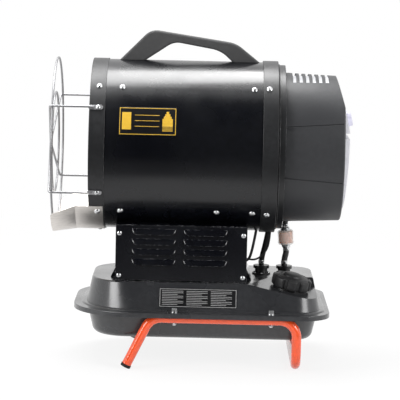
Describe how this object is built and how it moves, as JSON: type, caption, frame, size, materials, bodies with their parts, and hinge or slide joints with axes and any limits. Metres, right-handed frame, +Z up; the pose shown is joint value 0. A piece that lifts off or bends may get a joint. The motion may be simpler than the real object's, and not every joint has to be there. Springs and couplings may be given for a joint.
{
  "type": "radiant kerosene heater",
  "caption": "Portable radiant kerosene heater: black drum with wire guard and deflector on a base box, low fuel tank with filler cap, bent tube frame and carrying handle.",
  "frame": {"origin": "centre of the bounding box's footprint, on the floor", "axes": "+X along the drum towards the air intake, so heat leaves towards -X; -Y towards the filler cap's side; +Z up"},
  "size_m": [0.5103, 0.306, 0.5521],
  "materials": {
    "drum_black": "semi-gloss",
    "cover_black": "satin",
    "tank_grey": "semi-gloss",
    "frame_orange": "gloss",
    "bright_zinc": "satin",
    "guard_chrome": "polished",
    "deflector_steel": "brushed",
    "heat_steel": "heat-tinted",
    "reflector": "bright",
    "handle_plastic": "matte",
    "cap_plastic": "satin",
    "rear_plastic": "fine grain",
    "grille_plastic": "satin",
    "knob_plastic": "satin",
    "switch_plastic": "gloss",
    "window_glass": "dark tint",
    "rubber_black": "matte",
    "hose_grey": "matte",
    "cable_black": "satin",
    "filter_clear": "clear amber",
    "filter_paper": "pleated",
    "fitting_black": "satin",
    "brass_part": "machined",
    "copper_pipe": "satin",
    "ceramic": "glazed",
    "board_green": "matte",
    "motor_grey": "satin",
    "fan_plastic": "satin",
    "transformer": "satin"
  },
  "bodies": {
    "heater": {"base_box": "cover_black", "burner_head": "heat_steel", "cap_gasket": "rubber_black", "casing_screws": "bright_zinc", "combustion_chamber": "heat_steel", "control_board": "board_green", "control_panel": "grille_plastic", "cord_gland": "switch_plastic", "deflector_plate": "deflector_steel", "display_window": "window_glass", "drain_plug": "bright_zinc", "drum_shell": "drum_black", "emitter_disc": "heat_steel", "filler_neck": "bright_zinc", "filler_strainer": "fitting_black", "filter_bowl": "filter_clear", "filter_element": "filter_paper", "filter_hose": "hose_grey", "fitting_screws": "bright_zinc", "flame_sensor": "brass_part", "foot_caps": "rubber_black", "frame_bolts": "bright_zinc", "frame_nuts": "bright_zinc", "frame_tube": "frame_orange", "front_band": "drum_black", "front_guard": "guard_chrome", "fuel_line": "copper_pipe", "fuel_nozzle": "brass_part", "fuel_pump": "motor_grey", "guard_rings": "guard_chrome", "guard_screws": "bright_zinc", "handle": "handle_plastic", "handle_screws": "bright_zinc", "hose_clamps": "bright_zinc", "igniter": "ceramic", "ignition_transformer": "transformer", "inlet_ring": "drum_black", "motor_body": "motor_grey", "motor_bracket": "bright_zinc", "outlet_fitting": "fitting_black", "pickup_tube": "bright_zinc", "rear_band": "drum_black", "rear_cover": "rear_plastic", "rear_guard": "grille_plastic", "reflector_cone": "reflector", "return_fitting": "fitting_black", "return_hose": "hose_grey", "sensor_lead": "cable_black", "side_cover_far": "cover_black", "side_cover_near": "cover_black", "side_cover_screws": "bright_zinc", "supply_hose": "hose_grey", "tank_lower": "tank_grey", "tank_upper": "tank_grey", "wiring_cable": "cable_black"},
    "rotor": {"motor_shaft": "bright_zinc", "fan": "fan_plastic"},
    "knob": {"thermostat_knob": "knob_plastic"},
    "rocker": {"power_switch": "switch_plastic"},
    "cap": {"fuel_cap": "cap_plastic"}
  },
  "joints": [
    {"name": "fan_spin", "type": "hinge", "parent": "heater", "child": "rotor", "pos_m": [0, 0, 0.36], "axis": [1, 0, 0], "continuous": true},
    {"name": "knob_turn", "type": "hinge", "parent": "heater", "child": "knob", "pos_m": [0.24464, -0.038, 0.41306], "axis": [0.9775, 0, 0.211], "range_deg": [-135, 135]},
    {"name": "switch_rock", "type": "hinge", "parent": "heater", "child": "rocker", "pos_m": [0.24024, 0.05, 0.41211], "axis": [0, 1, 0], "range_deg": [0, 16]},
    {"name": "cap_turn", "type": "hinge", "parent": "heater", "child": "cap", "pos_m": [0.156, -0.066, 0.12904], "axis": [0.2018, -0.0993, 0.9744], "range_deg": [0, 90]}
  ]
}
